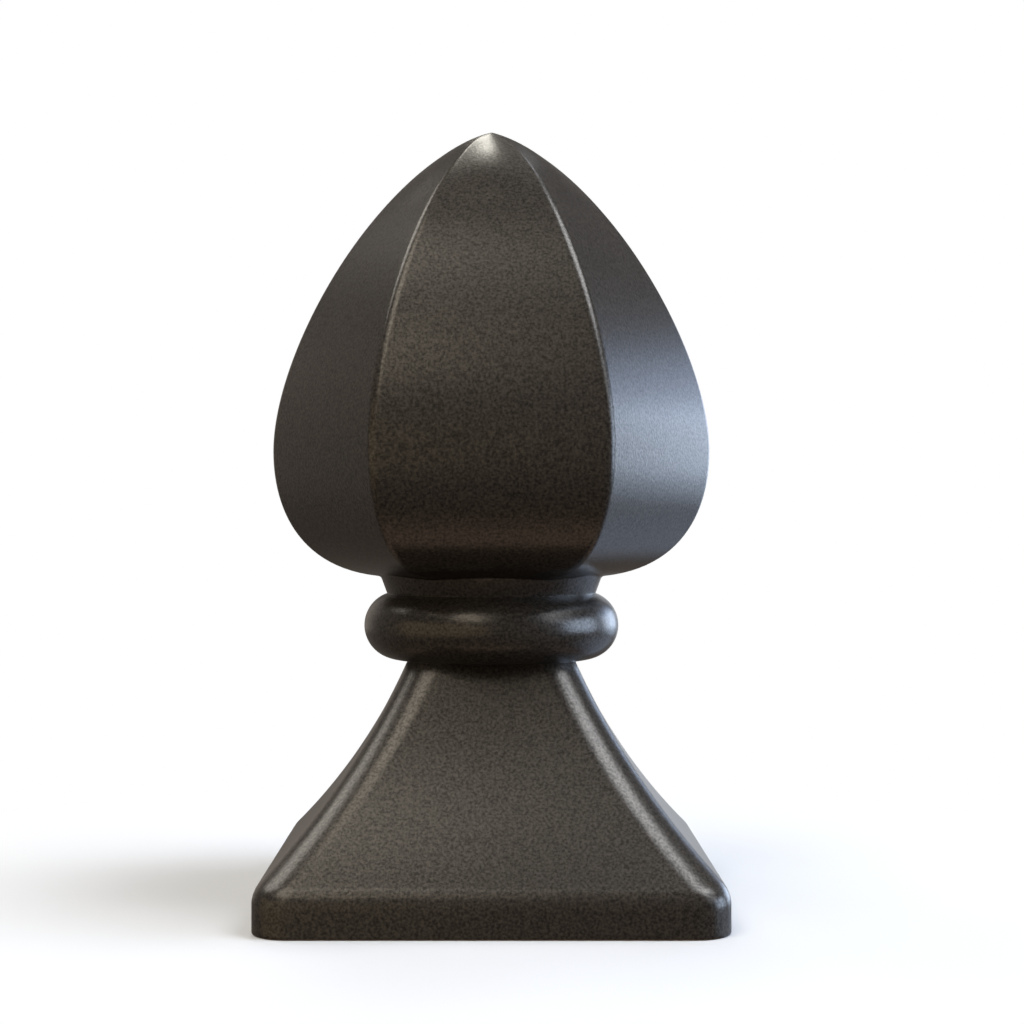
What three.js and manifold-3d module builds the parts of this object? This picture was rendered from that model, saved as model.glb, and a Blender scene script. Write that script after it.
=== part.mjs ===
// A cast post cap: a square swept base for a square post, a round collar and a
// six-sided acorn finial, all one hollow-based casting.
// Millimetres, +Z up. The origin is the middle of the underside.

import * as THREE from 'three';
import { mergeVertices } from 'three/addons/utils/BufferGeometryUtils.js';
import Module from 'manifold-3d';

// Post and socket
const postWidth = 50.8;
const postClearance = 0.4;
const socketCornerRadius = 1.2;
const seatBelowShoulder = 0.55;
const seatWidth = 2.4;

// Base
const skirtWall = 2.9;
const castingWall = 4;
const shoulderHeight = 5.05;
const shoulderRimRun = 1.6;
const shoulderSlopeRun = 1.1;
const hipRadius = 4.6;
const cavityCornerRadius = 2;
const sweepHeight = 30.5;
const sweepTopWidth = 18;
const sweepRadius = 89.3;

// Collar and neck
const collarRadius = 12.3;
const collarRoundRadius = 4.4;
const neckHeight = 1.9;
const neckFootRadius = 13.8;
const neckHeadRadius = 14.5;

// Acorn
const acornSides = 6;
const acornAcrossFlats = 50.1;
const acornRidgeRadius = 1.3;
const acornRidgeShare = 0.1;
const acornTopHeight = 42.05;
const acornBottomHeight = 16.5;
const acornTipRadius = 1;
const acornTipSpread = 13.2;
const acornTipDrop = 4.4;
const acornUpperHandle = 13.3;
const acornLowerHandle = 7.2;
const acornUndersideWidth = 23.4;
const acornUndersideHandle = 10.6;
const acornUndersideRise = 0.45;

// How finely the curves are stepped
const sweepSteps = 18;
const shoulderSteps = 6;
const hipSteps = 6;
const cavitySteps = 8;
const innerCornerSteps = 3;
const collarSteps = 16;
const roundSegments = 64;
const acornUpperSteps = 28;
const acornLowerSteps = 14;
const acornTipSteps = 3;
const ridgeSteps = 2;

// How far joined solids run into each other, and cuts run past the surface
const joinDepth = 1.5;
const cutOverrun = 1;

// Places worked out from the sizes above
const socketHalf = postWidth / 2 + postClearance;
const socketDepth = shoulderHeight - seatBelowShoulder;
const baseHalf = socketHalf + skirtWall;
const collarZ = shoulderHeight + sweepHeight;
const collarTopZ = collarZ + collarRoundRadius;
const cavityTopZ = collarZ - collarRoundRadius - castingWall;
const acornUndersideZ = collarTopZ + neckHeight;
const acornWidestZ = acornUndersideZ + acornBottomHeight;
const acornPointZ = acornWidestZ + acornTopHeight;

const wasm = await Module();
wasm.setup();

// A closed three.js geometry as a manifold solid. Triangles that a lathe
// leaves without area on its axis are dropped.
function toSolid(geometry) {
  const bare = geometry.clone();
  bare.deleteAttribute('normal');
  bare.deleteAttribute('uv');
  const merged = mergeVertices(bare);
  const corners = merged.index.array;
  const triangles = [];
  for (let start = 0; start < corners.length; start += 3) {
    const [a, b, c] = corners.slice(start, start + 3);
    if (a !== b && b !== c && c !== a) {
      triangles.push(a, b, c);
    }
  }
  return new wasm.Manifold(new wasm.Mesh({
    numProp: 3,
    vertProperties: new Float32Array(merged.attributes.position.array),
    triVerts: new Uint32Array(triangles),
  }));
}

function toGeometry(solid) {
  const mesh = solid.getMesh();
  const geometry = new THREE.BufferGeometry();
  geometry.setAttribute('position', new THREE.BufferAttribute(mesh.vertProperties, 3));
  geometry.setIndex(new THREE.BufferAttribute(mesh.triVerts, 1));
  geometry.computeVertexNormals();
  return geometry;
}

// One horizontal section: a regular polygon with rounded corners, seen
// counter-clockwise from above, with a flat side facing +Y and -Y.
function polygonRing(sides, apothem, cornerRadius, steps, z) {
  const sector = (2 * Math.PI) / sides;
  const radius = Math.min(cornerRadius, 0.9 * apothem);
  const cornerReach = (apothem - radius) / Math.cos(sector / 2);
  const ring = [];
  for (let side = 0; side < sides; side += 1) {
    const corner = Math.PI / 2 + (side + 0.5) * sector;
    for (let step = 0; step <= steps; step += 1) {
      const angle = corner + (step / steps - 0.5) * sector;
      ring.push(new THREE.Vector3(
        cornerReach * Math.cos(corner) + radius * Math.cos(angle),
        cornerReach * Math.sin(corner) + radius * Math.sin(angle),
        z,
      ));
    }
  }
  return ring;
}

// A closed solid through a stack of rings, lowest first. Each end is closed
// by a fan to a point on the axis.
function loft(rings, lowEndZ, highEndZ) {
  const count = rings[0].length;
  const points = [...rings.flat(), new THREE.Vector3(0, 0, lowEndZ), new THREE.Vector3(0, 0, highEndZ)];
  const lowEnd = rings.length * count;
  const highEnd = lowEnd + 1;
  const highRing = lowEnd - count;
  const index = [];
  for (let place = 0; place < count; place += 1) {
    const next = (place + 1) % count;
    index.push(lowEnd, next, place);
    index.push(highEnd, highRing + place, highRing + next);
    for (let low = 0; low < highRing; low += count) {
      const high = low + count;
      index.push(low + place, low + next, high + next);
      index.push(low + place, high + next, high + place);
    }
  }
  const geometry = new THREE.BufferGeometry().setFromPoints(points);
  geometry.setIndex(index);
  return geometry;
}

// The hollow sweep of the base's faces in section: an arc from the shoulder
// to the middle of the collar, given by its radius.
function sweepArc() {
  const foot = new THREE.Vector2(baseHalf, shoulderHeight);
  const head = new THREE.Vector2(sweepTopWidth / 2, collarZ);
  const chord = head.clone().sub(foot);
  const middle = foot.clone().addScaledVector(chord, 0.5);
  const radius = Math.max(sweepRadius, chord.length() / 2);
  const toCentre = Math.sqrt(radius ** 2 - chord.lengthSq() / 4);
  const outward = new THREE.Vector2(chord.y, -chord.x).normalize();
  return { centre: middle.addScaledVector(outward, toCentre), radius };
}

// Half the width of the sweep at a height, at a depth under its surface.
function sweepHalf(arc, z, depth) {
  const rise = arc.centre.y - z;
  return arc.centre.x - Math.sqrt((arc.radius + depth) ** 2 - rise ** 2);
}

// The rounded edge between the vertical rim and the swept faces. Points are
// (half width, height), lowest first.
function shoulderCurve(arc) {
  const topZ = shoulderHeight + shoulderSlopeRun;
  const rim = new THREE.Vector2(baseHalf, shoulderHeight - shoulderRimRun);
  const edge = new THREE.Vector2(baseHalf, shoulderHeight);
  const slope = new THREE.Vector2(sweepHalf(arc, topZ, 0), topZ);
  return new THREE.QuadraticBezierCurve(rim, edge, slope).getPoints(shoulderSteps);
}

function baseSolid() {
  const arc = sweepArc();
  const shoulder = shoulderCurve(arc);
  const profile = [new THREE.Vector2(baseHalf, 0), ...shoulder];
  const sweepFootZ = shoulder.at(-1).y;
  for (let step = 1; step <= sweepSteps; step += 1) {
    const z = sweepFootZ + ((collarZ - sweepFootZ) * step) / sweepSteps;
    profile.push(new THREE.Vector2(sweepHalf(arc, z, 0), z));
  }
  const rings = profile.map(({ x, y }) => polygonRing(4, x, hipRadius, hipSteps, y));
  return toSolid(loft(rings, 0, collarZ));
}

// The straight-sided socket that the post's end goes into.
function socketCut() {
  const rings = [-cutOverrun, socketDepth].map(
    (z) => polygonRing(4, socketHalf, socketCornerRadius, innerCornerSteps, z),
  );
  return toSolid(loft(rings, -cutOverrun, socketDepth));
}

// The hollow above the socket, one wall inside the swept faces. The ledge
// between the socket and the hollow seats the post.
function cavityCut() {
  const arc = sweepArc();
  const mouthHalf = socketHalf - seatWidth;
  const rings = [];
  for (let step = 0; step <= cavitySteps; step += 1) {
    const z = socketDepth + ((cavityTopZ - socketDepth) * step) / cavitySteps;
    const half = Math.min(sweepHalf(arc, z, castingWall), mouthHalf);
    rings.push(polygonRing(4, half, cavityCornerRadius, innerCornerSteps, z));
  }
  const mouth = rings[0].map((point) => point.clone().setZ(socketDepth - cutOverrun));
  return toSolid(loft([mouth, ...rings], socketDepth - cutOverrun, cavityTopZ));
}

// The half-round collar, solid to the axis.
function collarSolid() {
  const profile = [new THREE.Vector2(0, collarZ - collarRoundRadius)];
  for (let step = 0; step <= collarSteps; step += 1) {
    const angle = Math.PI * (step / collarSteps - 0.5);
    profile.push(new THREE.Vector2(
      collarRadius + collarRoundRadius * Math.cos(angle),
      collarZ + collarRoundRadius * Math.sin(angle),
    ));
  }
  profile.push(new THREE.Vector2(0, collarTopZ));
  return toSolid(upright(new THREE.LatheGeometry(profile, roundSegments)));
}

// The short round neck, a little wider where it meets the acorn.
function neckSolid() {
  const profile = [
    new THREE.Vector2(0, collarTopZ - joinDepth),
    new THREE.Vector2(neckFootRadius, collarTopZ - joinDepth),
    new THREE.Vector2(neckFootRadius, collarTopZ),
    new THREE.Vector2(neckHeadRadius, acornUndersideZ),
    new THREE.Vector2(neckHeadRadius, acornUndersideZ + joinDepth),
    new THREE.Vector2(0, acornUndersideZ + joinDepth),
  ];
  return toSolid(upright(new THREE.LatheGeometry(profile, roundSegments)));
}

// A lathe turns about Y: this stands it on Z.
function upright(geometry) {
  return geometry.rotateX(Math.PI / 2);
}

// The acorn's side in section, from its flat underside up to its tip, as
// (distance to a flat side, height). The point is rounded off by a small arc.
function acornCurve() {
  const widest = new THREE.Vector2(acornAcrossFlats / 2, acornWidestZ);
  const underside = new THREE.Vector2(acornUndersideWidth / 2, acornUndersideZ);
  const point = new THREE.Vector2(0, acornPointZ);
  const lower = new THREE.CubicBezierCurve(
    underside,
    underside.clone().add(new THREE.Vector2(acornUndersideHandle, acornUndersideRise)),
    widest.clone().sub(new THREE.Vector2(0, acornLowerHandle)),
    widest,
  );
  const upper = new THREE.CubicBezierCurve(
    widest,
    widest.clone().add(new THREE.Vector2(0, acornUpperHandle)),
    point.clone().add(new THREE.Vector2(acornTipSpread, -acornTipDrop)),
    point,
  );
  const tipSlope = Math.atan2(acornTipDrop, acornTipSpread);
  const tipHalf = acornTipRadius * Math.sin(tipSlope);
  const tipCentreZ = acornPointZ - acornTipRadius / Math.cos(tipSlope);
  const sides = upper.getPoints(acornUpperSteps).slice(1).filter(({ x }) => x > tipHalf);
  const tip = [];
  for (let step = 0; step <= acornTipSteps; step += 1) {
    const angle = tipSlope * (1 - step / acornTipSteps);
    tip.push(new THREE.Vector2(
      acornTipRadius * Math.sin(angle),
      tipCentreZ + acornTipRadius * Math.cos(angle),
    ));
  }
  return [...lower.getPoints(acornLowerSteps), ...sides, ...tip];
}

// The ridges are rounded by one radius, and by a share of the distance to the
// flat sides near the tip, where there is no room for it.
function acornSolid() {
  const curve = acornCurve();
  const tip = curve.pop();
  const rings = curve.map(({ x, y }) => {
    const ridgeRadius = Math.min(acornRidgeRadius, acornRidgeShare * x);
    return polygonRing(acornSides, x, ridgeRadius, ridgeSteps, y);
  });
  return toSolid(loft(rings, acornUndersideZ, tip.y));
}

const casting = baseSolid()
  .add(collarSolid())
  .add(neckSolid())
  .add(acornSolid())
  .subtract(socketCut())
  .subtract(cavityCut());

// Dark bronze-black powder coat with a fine texture
const powderCoat = new THREE.MeshStandardMaterial({
  color: 0x2b2724,
  roughness: 0.45,
  metalness: 0.3,
});

const postCap = new THREE.Mesh(toGeometry(casting), powderCoat);
postCap.name = 'post_cap';

const group = new THREE.Group();
group.add(postCap);

export default group;
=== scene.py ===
import math

import bpy
import numpy as np
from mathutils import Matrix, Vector


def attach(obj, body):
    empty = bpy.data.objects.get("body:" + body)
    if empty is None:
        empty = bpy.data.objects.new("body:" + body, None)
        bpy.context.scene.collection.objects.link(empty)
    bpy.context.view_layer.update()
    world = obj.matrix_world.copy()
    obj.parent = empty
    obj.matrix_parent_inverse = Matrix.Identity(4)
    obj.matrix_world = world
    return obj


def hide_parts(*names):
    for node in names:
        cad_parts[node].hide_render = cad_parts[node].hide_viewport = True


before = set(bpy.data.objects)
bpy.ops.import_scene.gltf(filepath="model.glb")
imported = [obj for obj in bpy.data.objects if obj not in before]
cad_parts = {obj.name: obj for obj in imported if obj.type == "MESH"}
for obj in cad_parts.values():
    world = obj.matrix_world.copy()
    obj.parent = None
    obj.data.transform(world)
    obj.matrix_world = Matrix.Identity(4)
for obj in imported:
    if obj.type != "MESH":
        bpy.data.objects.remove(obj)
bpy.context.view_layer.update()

# A cast metal post cap with a fine textured powder coat: a hollow square swept
# base, a round collar and a six-sided acorn. The whole cap is one piece.
# Lengths in this section are in millimetres and repeat the solid's own sizes.
MM = 0.001

POST_WIDTH = 50.8
POST_CLEARANCE = 0.4
SOCKET_CORNER_RADIUS = 1.2
SEAT_BELOW_SHOULDER = 0.55
SEAT_WIDTH = 2.4

SKIRT_WALL = 2.9
CASTING_WALL = 4.0
SHOULDER_HEIGHT = 5.05
SHOULDER_RIM_RUN = 1.6
SHOULDER_SLOPE_RUN = 1.1
HIP_RADIUS = 4.6
CAVITY_CORNER_RADIUS = 2.0
SWEEP_HEIGHT = 30.5
SWEEP_TOP_WIDTH = 18.0
SWEEP_RADIUS = 89.3

COLLAR_RADIUS = 12.3
COLLAR_ROUND_RADIUS = 4.4
NECK_HEIGHT = 1.9
NECK_FOOT_RADIUS = 13.8
NECK_HEAD_RADIUS = 14.5

ACORN_SIDES = 6
ACORN_ACROSS_FLATS = 50.1
ACORN_RIDGE_RADIUS = 1.3
ACORN_RIDGE_SHARE = 0.1
ACORN_TOP_HEIGHT = 42.05
ACORN_BOTTOM_HEIGHT = 16.5
ACORN_TIP_RADIUS = 1.0
ACORN_TIP_SPREAD = 13.2
ACORN_TIP_DROP = 4.4
ACORN_UPPER_HANDLE = 13.3
ACORN_LOWER_HANDLE = 7.2
ACORN_UNDERSIDE_WIDTH = 23.4
ACORN_UNDERSIDE_HANDLE = 10.6
ACORN_UNDERSIDE_RISE = 0.45

# The coat rounds the casting's edges and fills its inner corners
EDGE_ROUND = 0.3
INNER_ROUND = 0.35
COLLAR_CREASE_ROUND = 0.05
CAVITY_ROUND = 1.2

# Near the tip the middle of each of the acorn's flat sides is a little crowned.
# The crown's height is a share of the distance from the axis to the flat side,
# its softness is a share of the side's half width, and its reach is a length.
CROWN_HEIGHT = 0.131
CROWN_SOFTNESS = 0.55
CROWN_REACH = 11.0

SOCKET_HALF = POST_WIDTH / 2 + POST_CLEARANCE
SOCKET_DEPTH = SHOULDER_HEIGHT - SEAT_BELOW_SHOULDER
MOUTH_HALF = SOCKET_HALF - SEAT_WIDTH
BASE_HALF = SOCKET_HALF + SKIRT_WALL
SHOULDER_TOP_Z = SHOULDER_HEIGHT + SHOULDER_SLOPE_RUN
COLLAR_Z = SHOULDER_HEIGHT + SWEEP_HEIGHT
COLLAR_TOP_Z = COLLAR_Z + COLLAR_ROUND_RADIUS
CAVITY_TOP_Z = COLLAR_Z - COLLAR_ROUND_RADIUS - CASTING_WALL
ACORN_UNDERSIDE_Z = COLLAR_TOP_Z + NECK_HEIGHT
ACORN_WIDEST_Z = ACORN_UNDERSIDE_Z + ACORN_BOTTOM_HEIGHT
ACORN_POINT_Z = ACORN_WIDEST_Z + ACORN_TOP_HEIGHT
NECK_SPREAD = (NECK_HEAD_RADIUS - NECK_FOOT_RADIUS) / NECK_HEIGHT

# Every ring of the mesh has the same number of columns: the square has four
# corners and the acorn six ridges, each with its own share of them. Along a
# flat side they draw together towards its ends.
SQUARE_CORNER_STEPS = 16
SQUARE_FLAT_STEPS = 80
ACORN_CORNER_STEPS = 8
ACORN_FLAT_STEPS = 56
FLAT_EVEN_SHARE = 0.3
FLAT_DRAWN_SHARE = 0.7

# Rings from the top of the hollow down to the rim
HOLLOW_TOP_SHARES = (0.05, 0.3, 0.6, 0.85)
HOLLOW_TOP_CORNER_SHARE = 0.5
HOLLOW_ROUND_STEPS = 6
HOLLOW_WALL_STEPS = 16
EDGE_STEPS = 5

# Rings up the outside
RIM_RINGS_Z = (EDGE_ROUND + 0.15, 1.2, 2.4)
SHOULDER_STEPS = 12
SWEEP_STEPS = 36
FILLET_STEPS = 5
COLLAR_STEPS = 32
NECK_STEPS = 3
ACORN_LOWER_STEPS = 26
ACORN_UPPER_STEPS = 62
TIP_STEPS = 6
TIP_CLEARANCE = 1.1

# Camera, with its lengths in metres
CAMERA_DISTANCE = 0.2624
CAMERA_HEIGHT = 0.05025
CAMERA_NEAREST = 0.01
CAMERA_FARTHEST = 20.0
LENS_MM = 70.0
SENSOR_MM = 36.0
FRAME_PIXELS = 1024
AXIS_PIXEL_X = 491.35
HORIZON_PIXEL_Y = 513.0

# Powder coat: the grain's scale is in waves per metre, its relief in metres
COAT_ROUGHNESS = 0.28
GRAIN_SCALE = 2900.0
GRAIN_DETAIL = 2.0
GRAIN_ROUGHNESS = 0.6
GRAIN_DARK = (0.01, 0.0088, 0.0076, 1.0)
GRAIN_DARK_LEVEL = 0.33
GRAIN_LIGHT = (0.045, 0.0396, 0.0342, 1.0)
GRAIN_LIGHT_LEVEL = 0.67
GLEAM_FROM = (0.3, 0.7)
GLEAM_TO = (0.33, 0.67)
RELIEF_STRENGTH = 0.35
RELIEF_DEPTH = 0.00005

# Floor: its tone, its half width and where it fades into the white, in metres
FLOOR_TONE = (0.75, 0.795, 0.875, 1.0)
FLOOR_HALF = 30.0
FLOOR_FADE_START = 0.035
FLOOR_FADE_END = 0.11

# The dim room round the cap, from straight below (0) to straight above (1)
ROOM_COLOURS = {
    0.0: (0.8, 0.55, 0.4, 1.0),
    0.17: (0.13, 0.1, 0.08, 1.0),
    0.5: (0.2, 0.18, 0.16, 1.0),
    0.62: (0.2, 0.18, 0.16, 1.0),
    0.74: (0.14, 0.13, 0.125, 1.0),
    1.0: (0.1, 0.095, 0.09, 1.0),
}
WHITE = (1.0, 1.0, 1.0, 1.0)


def make_camera():
    data = bpy.data.cameras.new("camera")
    data.lens = LENS_MM
    data.sensor_width = SENSOR_MM
    data.shift_x = (FRAME_PIXELS / 2 - AXIS_PIXEL_X) / FRAME_PIXELS
    data.shift_y = (HORIZON_PIXEL_Y - FRAME_PIXELS / 2) / FRAME_PIXELS
    data.clip_start = CAMERA_NEAREST
    data.clip_end = CAMERA_FARTHEST
    camera = bpy.data.objects.new("camera", data)
    camera.location = (0.0, -CAMERA_DISTANCE, CAMERA_HEIGHT)
    camera.rotation_euler = (math.pi / 2, 0.0, 0.0)
    bpy.context.scene.collection.objects.link(camera)
    bpy.context.scene.camera = camera


# Rings


def section(sides, corner_steps, flat_steps):
    """The columns of a regular polygon with rounded corners. A column's place
    in plan is apothem * first + corner_radius * second. Column 0 is the middle
    of the flat side that faces -Y, and they run counter-clockwise."""
    sector = 2 * math.pi / sides
    by_apothem = []
    by_radius = []
    for side in range(sides):
        corner = -math.pi / 2 - sector / 2 + side * sector
        reach = np.array((math.cos(corner), math.sin(corner))) / math.cos(sector / 2)
        for step in range(corner_steps):
            angle = corner + (step / corner_steps - 0.5) * sector
            by_apothem.append(reach)
            by_radius.append(np.array((math.cos(angle), math.sin(angle))) - reach)
        facing = corner + sector / 2
        normal = np.array((math.cos(facing), math.sin(facing)))
        along = np.array((-math.sin(facing), math.cos(facing))) * math.tan(sector / 2)
        for step in range(flat_steps):
            share = step / flat_steps
            drawn = (1 - math.cos(math.pi * share)) / 2
            place = 2 * (FLAT_EVEN_SHARE * share + FLAT_DRAWN_SHARE * drawn) - 1
            by_apothem.append(normal + place * along)
            by_radius.append(-place * along)
    turn = -(corner_steps + flat_steps // 2)
    return np.roll(by_apothem, turn, axis=0), np.roll(by_radius, turn, axis=0)


SQUARE = section(4, SQUARE_CORNER_STEPS, SQUARE_FLAT_STEPS)
HEXAGON = section(ACORN_SIDES, ACORN_CORNER_STEPS, ACORN_FLAT_STEPS)
COLUMNS = len(SQUARE[0])


def place(columns, apothem, radius, z):
    """Points of shape (rows, columns, 3). Each of the last three arguments is
    one number for each row, or one for each row and column."""
    count = len(apothem)

    def spread(value):
        value = np.asarray(value, float).reshape(count, -1)
        return np.broadcast_to(value, (count, COLUMNS))[..., None]

    plan = spread(apothem) * columns[0] + spread(radius) * columns[1]
    return np.concatenate((plan, spread(z)), axis=2)


def shares(steps):
    """Evenly spaced numbers from 0 to 1 as a column, both ends included."""
    return np.linspace(0.0, 1.0, steps + 1)[:, None]


def quarter_turn(steps, first=0):
    """The sine and cosine of each step's angle, from 0 to a right angle."""
    angles = [step / steps * math.pi / 2 for step in range(first, steps + 1)]
    return [(math.sin(angle), math.cos(angle)) for angle in angles]


def quadratic(start, middle, end, steps):
    """Rows between start and end, both left out, bent by middle."""
    t = (np.arange(1, steps) / steps).reshape((-1,) + (1,) * np.ndim(start))
    return (1 - t) ** 2 * start + 2 * t * (1 - t) * middle + t**2 * end


def cubic(points, t):
    a, b, c, d = (np.asarray(p, float) for p in points)
    t = np.asarray(t, float)[..., None]
    return (
        (1 - t) ** 3 * a
        + 3 * t * (1 - t) ** 2 * b
        + 3 * t**2 * (1 - t) * c
        + t**3 * d
    )


def bisect(inside, low, high, rounds=50):
    """The value of each column where inside(values) turns true."""
    low = np.full(COLUMNS, float(low))
    high = np.full(COLUMNS, float(high))
    for _ in range(rounds):
        middle = (low + high) / 2
        hit = inside(middle)
        high = np.where(hit, middle, high)
        low = np.where(hit, low, middle)
    return high


# Base


def sweep_arc():
    """The middle of the arc that the base's faces sweep up on."""
    foot = np.array((BASE_HALF, SHOULDER_HEIGHT))
    head = np.array((SWEEP_TOP_WIDTH / 2, COLLAR_Z))
    chord = head - foot
    length = np.hypot(*chord)
    outward = np.array((chord[1], -chord[0])) / length
    return foot + chord / 2 + outward * math.sqrt(SWEEP_RADIUS**2 - length**2 / 4)


SWEEP_CENTRE = sweep_arc()


def sweep_half(z, depth=0.0):
    rise = SWEEP_CENTRE[1] - z
    return SWEEP_CENTRE[0] - np.sqrt((SWEEP_RADIUS + depth) ** 2 - rise**2)


def sweep_rows(z):
    z = np.atleast_2d(z)
    return place(SQUARE, sweep_half(z), np.full(z.shape, HIP_RADIUS), z)


def hollow_rings():
    """The hollow inside the base, from its top to the ledge, as (distance to a
    flat side, corner radius, height)."""
    end_z = CAVITY_TOP_Z - CAVITY_ROUND
    end_half = sweep_half(end_z, CASTING_WALL)
    rings = []
    for share in HOLLOW_TOP_SHARES:
        half = share * (end_half - CAVITY_ROUND)
        radius = min(CAVITY_CORNER_RADIUS, HOLLOW_TOP_CORNER_SHARE * half)
        rings.append((half, radius, CAVITY_TOP_Z))
    for sine, cosine in quarter_turn(HOLLOW_ROUND_STEPS):
        half = end_half - CAVITY_ROUND * (1 - sine)
        rings.append((half, CAVITY_CORNER_RADIUS, end_z + CAVITY_ROUND * cosine))
    mouth_z = SOCKET_DEPTH + EDGE_ROUND
    for step in range(1, HOLLOW_WALL_STEPS + 1):
        z = end_z + step / HOLLOW_WALL_STEPS * (mouth_z - end_z)
        half = min(sweep_half(z, CASTING_WALL), MOUTH_HALF)
        rings.append((half, CAVITY_CORNER_RADIUS, z))
    for sine, cosine in quarter_turn(EDGE_STEPS, 1):
        half = MOUTH_HALF + EDGE_ROUND * (1 - cosine)
        z = SOCKET_DEPTH + EDGE_ROUND * (1 - sine)
        rings.append((half, CAVITY_CORNER_RADIUS, z))
    return rings


def socket_rings():
    """The ledge that seats the post and the socket's walls."""
    ledge_end = SOCKET_HALF - INNER_ROUND
    rings = [(ledge_end, SOCKET_CORNER_RADIUS, SOCKET_DEPTH)]
    for sine, cosine in quarter_turn(EDGE_STEPS, 1):
        half = ledge_end + INNER_ROUND * sine
        z = SOCKET_DEPTH - INNER_ROUND * (1 - cosine)
        rings.append((half, SOCKET_CORNER_RADIUS, z))
    rings.append((SOCKET_HALF, SOCKET_CORNER_RADIUS, SOCKET_DEPTH / 2))
    return rings


def foot_rings():
    """The rim's two lower edges, with the flat that the cap stands on between."""
    rings = []
    for sine, cosine in quarter_turn(EDGE_STEPS):
        outset = EDGE_ROUND * (1 - cosine)
        z = EDGE_ROUND * (1 - sine)
        rings.append((SOCKET_HALF + outset, SOCKET_CORNER_RADIUS + outset, z))
    for sine, cosine in quarter_turn(EDGE_STEPS):
        inset = EDGE_ROUND * (1 - sine)
        z = EDGE_ROUND * (1 - cosine)
        rings.append((BASE_HALF - inset, HIP_RADIUS - inset, z))
    return rings


def underside_rows():
    half, radius, z = np.array(hollow_rings() + socket_rings() + foot_rings()).T
    return place(SQUARE, half, radius, z)


def rim_rows():
    """The rim's upright side and the shoulder, up to the swept faces."""
    upright = np.array([(BASE_HALF, z) for z in RIM_RINGS_Z])
    rim = np.array((BASE_HALF, SHOULDER_HEIGHT - SHOULDER_RIM_RUN))
    edge = np.array((BASE_HALF, SHOULDER_HEIGHT))
    slope = np.array((sweep_half(SHOULDER_TOP_Z), SHOULDER_TOP_Z))
    outside = np.vstack((upright, rim, quadratic(rim, edge, slope, SHOULDER_STEPS)))
    return place(SQUARE, outside[:, 0], np.full(len(outside), HIP_RADIUS), outside[:, 1])


# Collar and neck


def neck_radius(z):
    return NECK_FOOT_RADIUS + (z - COLLAR_TOP_Z) * NECK_SPREAD


def turned(radius, z, azimuth):
    return np.stack((radius * np.cos(azimuth), radius * np.sin(azimuth), z), axis=-1)


def azimuth_of(points):
    """Each column's direction in plan, rising without a jump from column 0."""
    return np.unwrap(np.arctan2(points[:, 1], points[:, 0]))


def in_collar(radius, z):
    return (radius - COLLAR_RADIUS) ** 2 + (z - COLLAR_Z) ** 2 < COLLAR_ROUND_RADIUS**2


def collar_rows(crease, neck_azimuth, neck_foot_z):
    """The collar, from its crease with the base to its crease with the neck.
    Angles run from its lowest line outwards and up."""
    out = np.hypot(crease[:, 0], crease[:, 1]) - COLLAR_RADIUS
    low_angle = np.arctan2(out, COLLAR_Z - crease[:, 2])
    out = neck_radius(neck_foot_z) - COLLAR_RADIUS
    high_angle = math.pi - np.arctan2(out, neck_foot_z - COLLAR_Z)
    crease_angle = COLLAR_CREASE_ROUND / COLLAR_ROUND_RADIUS
    start = low_angle + crease_angle
    end = high_angle - crease_angle
    share = shares(COLLAR_STEPS)
    angle = start + share * (end - start)
    slide = share**2 * (3 - 2 * share)
    base_azimuth = azimuth_of(crease)
    azimuth = base_azimuth + slide * (neck_azimuth - base_azimuth)
    radius = COLLAR_RADIUS + COLLAR_ROUND_RADIUS * np.sin(angle)
    z = COLLAR_Z - COLLAR_ROUND_RADIUS * np.cos(angle)
    return turned(radius, z, azimuth)


def neck_rows(start_z, end_z, azimuth):
    z = start_z + shares(NECK_STEPS) * (end_z - start_z)
    return turned(neck_radius(z), z, np.broadcast_to(azimuth, z.shape))


# Acorn. Its side in section, as (distance to a flat side, height)
ACORN_LOWER = (
    (ACORN_UNDERSIDE_WIDTH / 2, ACORN_UNDERSIDE_Z),
    (
        ACORN_UNDERSIDE_WIDTH / 2 + ACORN_UNDERSIDE_HANDLE,
        ACORN_UNDERSIDE_Z + ACORN_UNDERSIDE_RISE,
    ),
    (ACORN_ACROSS_FLATS / 2, ACORN_WIDEST_Z - ACORN_LOWER_HANDLE),
    (ACORN_ACROSS_FLATS / 2, ACORN_WIDEST_Z),
)
ACORN_UPPER = (
    (ACORN_ACROSS_FLATS / 2, ACORN_WIDEST_Z),
    (ACORN_ACROSS_FLATS / 2, ACORN_WIDEST_Z + ACORN_UPPER_HANDLE),
    (ACORN_TIP_SPREAD, ACORN_POINT_Z - ACORN_TIP_DROP),
    (0.0, ACORN_POINT_Z),
)
TIP_SLOPE = math.atan2(ACORN_TIP_DROP, ACORN_TIP_SPREAD)
TIP_CENTRE_Z = ACORN_POINT_Z - ACORN_TIP_RADIUS / math.cos(TIP_SLOPE)
TIP_Z = TIP_CENTRE_Z + ACORN_TIP_RADIUS


def crown_of_side():
    """The crown's height in each column: 1 in the middle of a flat side and 0
    at its ridges."""
    reach = np.hypot(*HEXAGON[0].T)
    across = np.sqrt(np.maximum(reach**2 - 1, 0.0)) / math.tan(math.pi / ACORN_SIDES)
    drop = np.log(np.cosh(across / CROWN_SOFTNESS))
    return 1 - drop / math.log(math.cosh(1 / CROWN_SOFTNESS))


CROWN = CROWN_HEIGHT * crown_of_side()


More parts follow.
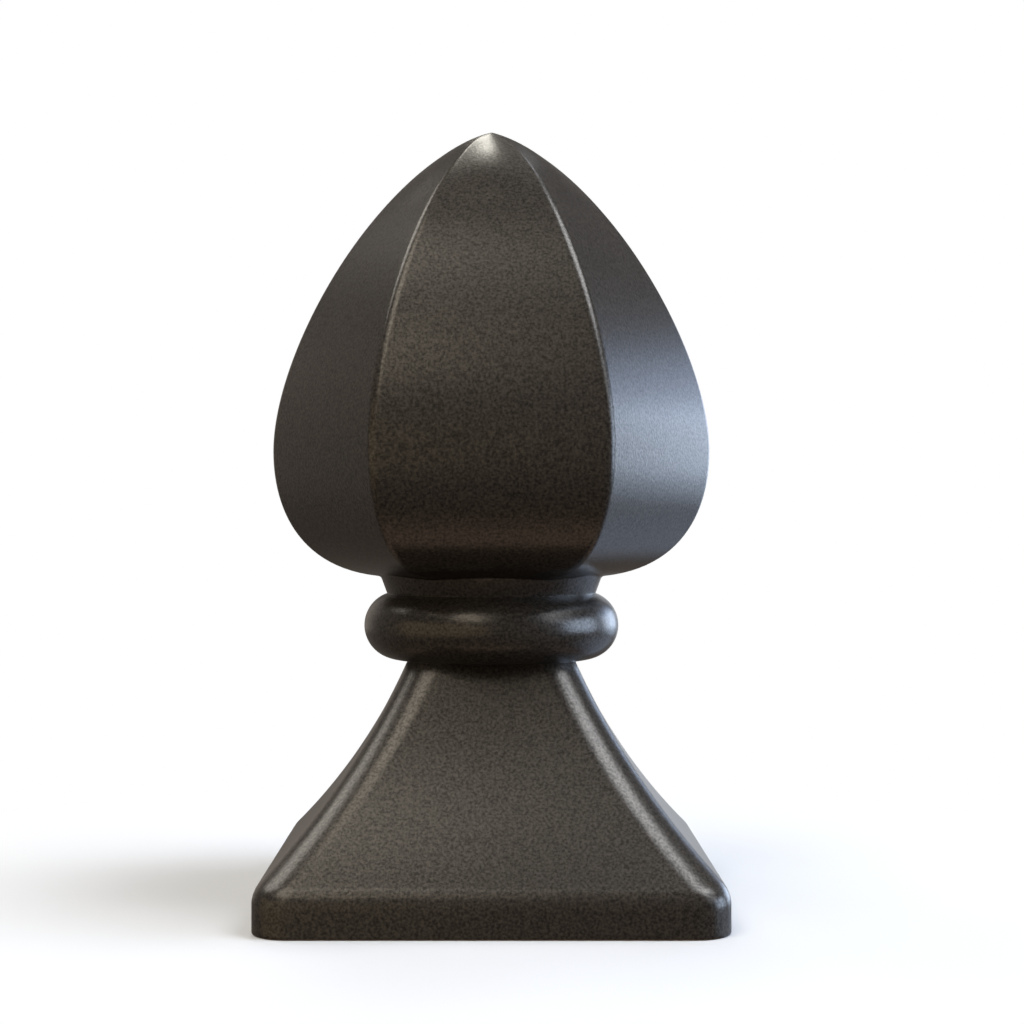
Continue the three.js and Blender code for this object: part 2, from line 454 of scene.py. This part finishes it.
def acorn_rows(curve):
    """Rings of the acorn for a curve of shape (rows, 2) or (rows, columns, 2)."""
    apothem = curve[..., 0]
    ridge = np.minimum(ACORN_RIDGE_RADIUS, ACORN_RIDGE_SHARE * apothem)
    rows = place(HEXAGON, apothem, ridge, curve[..., 1])
    near_tip = np.clip(1 - (ACORN_POINT_Z - rows[..., 2]) / CROWN_REACH, 0.0, 1.0)
    swell = 1 + CROWN * near_tip
    rows[..., :2] *= swell[..., None]
    return rows


def acorn_lower_point(t):
    return acorn_rows(cubic(ACORN_LOWER, t)[None])[0]


def acorn_lower_rows(meet_t):
    """The acorn's underside and lower part, from where the neck meets it."""
    start = meet_t + INNER_ROUND / (3 * ACORN_UNDERSIDE_HANDLE)
    return acorn_rows(cubic(ACORN_LOWER, start + shares(ACORN_LOWER_STEPS) * (1 - start)))


def acorn_upper_rows():
    """The acorn above its widest line, with its small round tip."""
    upper = cubic(ACORN_UPPER, np.linspace(0, 1, ACORN_UPPER_STEPS + 1)[1:])
    tip_half = ACORN_TIP_RADIUS * math.sin(TIP_SLOPE)
    upper = upper[upper[:, 0] > TIP_CLEARANCE * tip_half]
    angle = TIP_SLOPE * (1 - np.arange(TIP_STEPS) / TIP_STEPS)
    tip = np.stack((
        ACORN_TIP_RADIUS * np.sin(angle),
        TIP_CENTRE_Z + ACORN_TIP_RADIUS * np.cos(angle),
    ), axis=1)
    return acorn_rows(np.vstack((upper, tip)))


# The whole casting


def base_meets_collar():
    """The height in each column where a swept face runs into the collar."""
    def inside(z):
        point = sweep_rows(z)[0]
        return in_collar(np.hypot(point[:, 0], point[:, 1]), z)

    return bisect(inside, CAVITY_TOP_Z, COLLAR_Z)


def neck_meets_acorn():
    """How far along the acorn's lower curve the neck meets it, in each column."""
    def inside(t):
        point = acorn_lower_point(t)
        return np.hypot(point[:, 0], point[:, 1]) > neck_radius(point[:, 2])

    return bisect(inside, 0.0, 0.5)


def neck_leaves_collar():
    """The height where the neck comes out of the collar."""
    return bisect(lambda z: ~in_collar(neck_radius(z), z), COLLAR_Z + 1, COLLAR_TOP_Z)


def casting_rows():
    """All rings of the cap, from the top of its hollow, round the rim and up
    the outside to the tip. Fillets join the base, collar, neck and acorn."""
    meet_z = base_meets_collar()
    crease_low = sweep_rows(meet_z)[0]
    sweep_top = meet_z - COLLAR_CREASE_ROUND
    sweep = sweep_rows(SHOULDER_TOP_Z + shares(SWEEP_STEPS) * (sweep_top - SHOULDER_TOP_Z))

    meet_t = neck_meets_acorn()
    crease_high = acorn_lower_point(meet_t)
    azimuth = azimuth_of(crease_high)
    neck_foot_z = neck_leaves_collar()
    crease_middle = turned(neck_radius(neck_foot_z), neck_foot_z, azimuth)

    collar = collar_rows(crease_low, azimuth, neck_foot_z)
    neck_start = neck_foot_z + COLLAR_CREASE_ROUND
    neck = neck_rows(neck_start, crease_high[:, 2] - INNER_ROUND, azimuth)
    acorn_lower = acorn_lower_rows(meet_t)
    return np.concatenate((
        underside_rows(),
        rim_rows(),
        sweep,
        quadratic(sweep[-1], crease_low, collar[0], FILLET_STEPS),
        collar,
        quadratic(collar[-1], crease_middle, neck[0], FILLET_STEPS),
        neck,
        quadratic(neck[-1], crease_high, acorn_lower[0], FILLET_STEPS),
        acorn_lower,
        acorn_upper_rows(),
    ))


def ring_faces(count):
    """The faces between the rings, and those that close the first and last
    ring on the two points that follow the rings' own."""
    column = np.arange(COLUMNS)
    following = (column + 1) % COLUMNS
    faces = []
    for row in range(count - 1):
        low = row * COLUMNS
        high = low + COLUMNS
        faces.extend(zip(low + column, low + following, high + following, high + column))
    hollow_point = count * COLUMNS
    tip_point = hollow_point + 1
    last = (count - 1) * COLUMNS
    faces.extend((hollow_point, b, a) for a, b in zip(column, following))
    faces.extend((tip_point, last + a, last + b) for a, b in zip(column, following))
    return [tuple(int(index) for index in face) for face in faces]


def build_casting():
    rows = casting_rows()
    ends = ((0, 0, CAVITY_TOP_Z), (0, 0, TIP_Z))
    points = np.vstack((rows.reshape(-1, 3), ends))
    mesh = bpy.data.meshes.new("post_cap_casting")
    mesh.from_pydata((points * MM).tolist(), [], ring_faces(len(rows)))
    mesh.update()
    mesh.shade_smooth()
    casting = bpy.data.objects.new("post_cap_casting", mesh)
    bpy.context.scene.collection.objects.link(casting)
    return casting


# Materials


def node(tree, kind, **values):
    """Adds a node. A value set by a socket's name goes to that socket, and any
    other to the node itself."""
    made = tree.nodes.new(kind)
    for name, value in values.items():
        socket = made.inputs.get(name.replace("_", " "))
        if socket is None:
            setattr(made, name, value)
        else:
            socket.default_value = value
    return made


def grain_colour(tree, grain):
    tint = node(tree, "ShaderNodeValToRGB")
    dark, light = tint.color_ramp.elements
    dark.position = GRAIN_DARK_LEVEL
    dark.color = GRAIN_DARK
    light.position = GRAIN_LIGHT_LEVEL
    light.color = GRAIN_LIGHT
    tree.links.new(grain, tint.inputs["Fac"])
    return tint.outputs["Color"]


def grain_gleam(tree, grain):
    gleam = node(
        tree, "ShaderNodeMapRange",
        From_Min=GLEAM_FROM[0], From_Max=GLEAM_FROM[1],
        To_Min=GLEAM_TO[0], To_Max=GLEAM_TO[1],
    )
    tree.links.new(grain, gleam.inputs["Value"])
    return gleam.outputs["Result"]


def grain_relief(tree, grain):
    relief = node(tree, "ShaderNodeBump", Strength=RELIEF_STRENGTH, Distance=RELIEF_DEPTH)
    tree.links.new(grain, relief.inputs["Height"])
    return relief.outputs["Normal"]


def powder_coat():
    """A dark bronze-black powder coat: half gloss, with a fine even texture."""
    material = bpy.data.materials.new("powder_coat_bronze_black")
    material.use_nodes = True
    tree = material.node_tree
    shader = tree.nodes["Principled BSDF"]
    shader.inputs["Roughness"].default_value = COAT_ROUGHNESS
    place_on = node(tree, "ShaderNodeTexCoord")
    noise = node(
        tree, "ShaderNodeTexNoise",
        Scale=GRAIN_SCALE, Detail=GRAIN_DETAIL, Roughness=GRAIN_ROUGHNESS,
    )
    tree.links.new(place_on.outputs["Object"], noise.inputs["Vector"])
    grain = noise.outputs["Fac"]
    tree.links.new(grain_colour(tree, grain), shader.inputs["Base Color"])
    tree.links.new(grain_gleam(tree, grain), shader.inputs["Specular IOR Level"])
    tree.links.new(grain_relief(tree, grain), shader.inputs["Normal"])
    return material


# Stage


def floor_material():
    """Pale near the cap, plain white away from it, and clear from below."""
    material = bpy.data.materials.new("studio_floor")
    material.use_nodes = True
    tree = material.node_tree
    tree.nodes.remove(tree.nodes["Principled BSDF"])
    lit = node(tree, "ShaderNodeBsdfDiffuse", Color=FLOOR_TONE)
    white = node(tree, "ShaderNodeEmission")
    through = node(tree, "ShaderNodeBsdfTransparent")
    place_on = node(tree, "ShaderNodeTexCoord")
    reach = node(tree, "ShaderNodeVectorMath", operation="LENGTH")
    fade = node(
        tree, "ShaderNodeMapRange", interpolation_type="SMOOTHSTEP",
        From_Min=FLOOR_FADE_START, From_Max=FLOOR_FADE_END,
    )
    side = node(tree, "ShaderNodeNewGeometry")
    to_white = node(tree, "ShaderNodeMixShader")
    to_clear = node(tree, "ShaderNodeMixShader")
    tree.links.new(place_on.outputs["Object"], reach.inputs[0])
    tree.links.new(reach.outputs["Value"], fade.inputs["Value"])
    tree.links.new(fade.outputs["Result"], to_white.inputs["Fac"])
    tree.links.new(lit.outputs["BSDF"], to_white.inputs[1])
    tree.links.new(white.outputs["Emission"], to_white.inputs[2])
    tree.links.new(side.outputs["Backfacing"], to_clear.inputs["Fac"])
    tree.links.new(to_white.outputs["Shader"], to_clear.inputs[1])
    tree.links.new(through.outputs["BSDF"], to_clear.inputs[2])
    output = tree.nodes["Material Output"]
    tree.links.new(to_clear.outputs["Shader"], output.inputs["Surface"])
    return material


def make_floor():
    """A floor that the camera alone sees: it isn't mirrored in the cap."""
    mesh = bpy.data.meshes.new("studio_floor")
    corners = [(-1, -1), (1, -1), (1, 1), (-1, 1)]
    mesh.from_pydata([(x * FLOOR_HALF, y * FLOOR_HALF, 0) for x, y in corners], [], [(0, 1, 2, 3)])
    mesh.materials.append(floor_material())
    floor = bpy.data.objects.new("studio_floor", mesh)
    floor.visible_glossy = False
    floor.visible_diffuse = False
    bpy.context.scene.collection.objects.link(floor)


def softbox(name, azimuth, elevation, width, height, colour, radiance):
    """A rectangular light a metre from the middle of the camera's view and
    facing it. The azimuth runs from the camera's side towards +X, and all angles
    are in degrees."""
    a = math.radians(azimuth)
    e = math.radians(elevation)
    away = Vector((math.sin(a) * math.cos(e), -math.cos(a) * math.cos(e), math.sin(e)))
    data = bpy.data.lights.new(name, "AREA")
    data.shape = "RECTANGLE"
    data.size = 2 * math.tan(math.radians(width / 2))
    data.size_y = 2 * math.tan(math.radians(height / 2))
    data.energy = math.pi * data.size * data.size_y * radiance
    data.color = colour
    light = bpy.data.objects.new(name, data)
    light.location = away + Vector((0, 0, CAMERA_HEIGHT))
    light.rotation_euler = away.to_track_quat("Z", "Y").to_euler()
    light.visible_camera = False
    bpy.context.scene.collection.objects.link(light)


def make_lights():
    softbox("softbox_upper_right", 80, 57.5, 30, 27, (1.0, 1.0, 1.0), 7.6)
    softbox("softbox_upper_left", -44, 58, 32, 29, (1.0, 0.89, 0.73), 3.9)
    softbox("softbox_top_front", 5, 60, 20, 12, (1.0, 0.95, 0.84), 0.6)
    softbox("softbox_right", 66, 32, 24, 24, (0.96, 0.99, 1.04), 2.0)
    softbox("softbox_low_left", -20, 38, 24, 18, (1.0, 0.86, 0.66), 3.0)
    softbox("softbox_left_rear", -120, 45, 22, 22, (1.0, 0.94, 0.84), 4.2)
    softbox("window_right", 88, 6, 36, 28, (0.77, 0.94, 1.2), 5.4)
    softbox("window_right_rear", 136, 3.5, 28, 16, (0.8, 0.96, 1.21), 4.7)
    softbox("window_right_rear_foot", 136, -8, 28, 7, (0.75, 0.95, 1.25), 1.7)
    softbox("glow_right_rear", 125, -27, 50, 24, (0.74, 0.94, 1.28), 0.5)
    softbox("wall_left", -45, 2, 84, 38, (1.0, 0.76, 0.44), 0.56)
    softbox("softbox_rear_top", -175, 74, 6, 10, (1.0, 0.96, 0.85), 4.5)
    softbox("softbox_rear_middle", -175, 63, 6, 12, (1.0, 0.97, 0.87), 13.0)
    softbox("softbox_rear", -175, 46, 6, 22, (1.0, 0.97, 0.87), 6.0)
    softbox("softbox_rear_right", 151, 52, 5, 14, (0.95, 0.98, 1.04), 4.0)
    softbox("wall_rear", 172, 3, 24, 26, (0.9, 0.96, 1.05), 0.75)
    softbox("wall_left_rear", -148, 6, 30, 26, (1.0, 0.86, 0.76), 0.3)
    softbox("window_right_rear_top", 136, 14, 28, 9, (0.71, 0.91, 1.3), 1.8)


def room_ramp(tree):
    room = node(tree, "ShaderNodeValToRGB")
    stops = room.color_ramp.elements
    stops.remove(stops[0])
    stops[0].position = min(ROOM_COLOURS)
    for position in sorted(ROOM_COLOURS)[1:]:
        stops.new(position)
    for stop, colour in zip(stops, ROOM_COLOURS.values()):
        stop.color = colour
    return room


def make_world():
    """White to the camera; to the cap a dim room, a little brighter below."""
    world = bpy.data.worlds.new("studio")
    world.use_nodes = True
    tree = world.node_tree
    place_on = node(tree, "ShaderNodeTexCoord")
    split = node(tree, "ShaderNodeSeparateXYZ")
    height = node(tree, "ShaderNodeMapRange", From_Min=-1.0, From_Max=1.0)
    room = room_ramp(tree)
    tree.links.new(place_on.outputs["Generated"], split.inputs["Vector"])
    tree.links.new(split.outputs["Z"], height.inputs["Value"])
    tree.links.new(height.outputs["Result"], room.inputs["Fac"])
    background = tree.nodes["Background"]
    tree.links.new(room.outputs["Color"], background.inputs["Color"])
    shown = node(tree, "ShaderNodeBackground", Color=WHITE)
    path = node(tree, "ShaderNodeLightPath")
    mix = node(tree, "ShaderNodeMixShader")
    tree.links.new(path.outputs["Is Camera Ray"], mix.inputs["Fac"])
    tree.links.new(background.outputs["Background"], mix.inputs[1])
    tree.links.new(shown.outputs["Background"], mix.inputs[2])
    tree.links.new(mix.outputs["Shader"], tree.nodes["World Output"].inputs["Surface"])
    bpy.context.scene.world = world


make_camera()
bpy.context.scene.view_settings.view_transform = "Standard"
casting = build_casting()
casting.data.materials.append(powder_coat())
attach(casting, "root")
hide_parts("post_cap")
make_floor()
make_lights()
make_world()
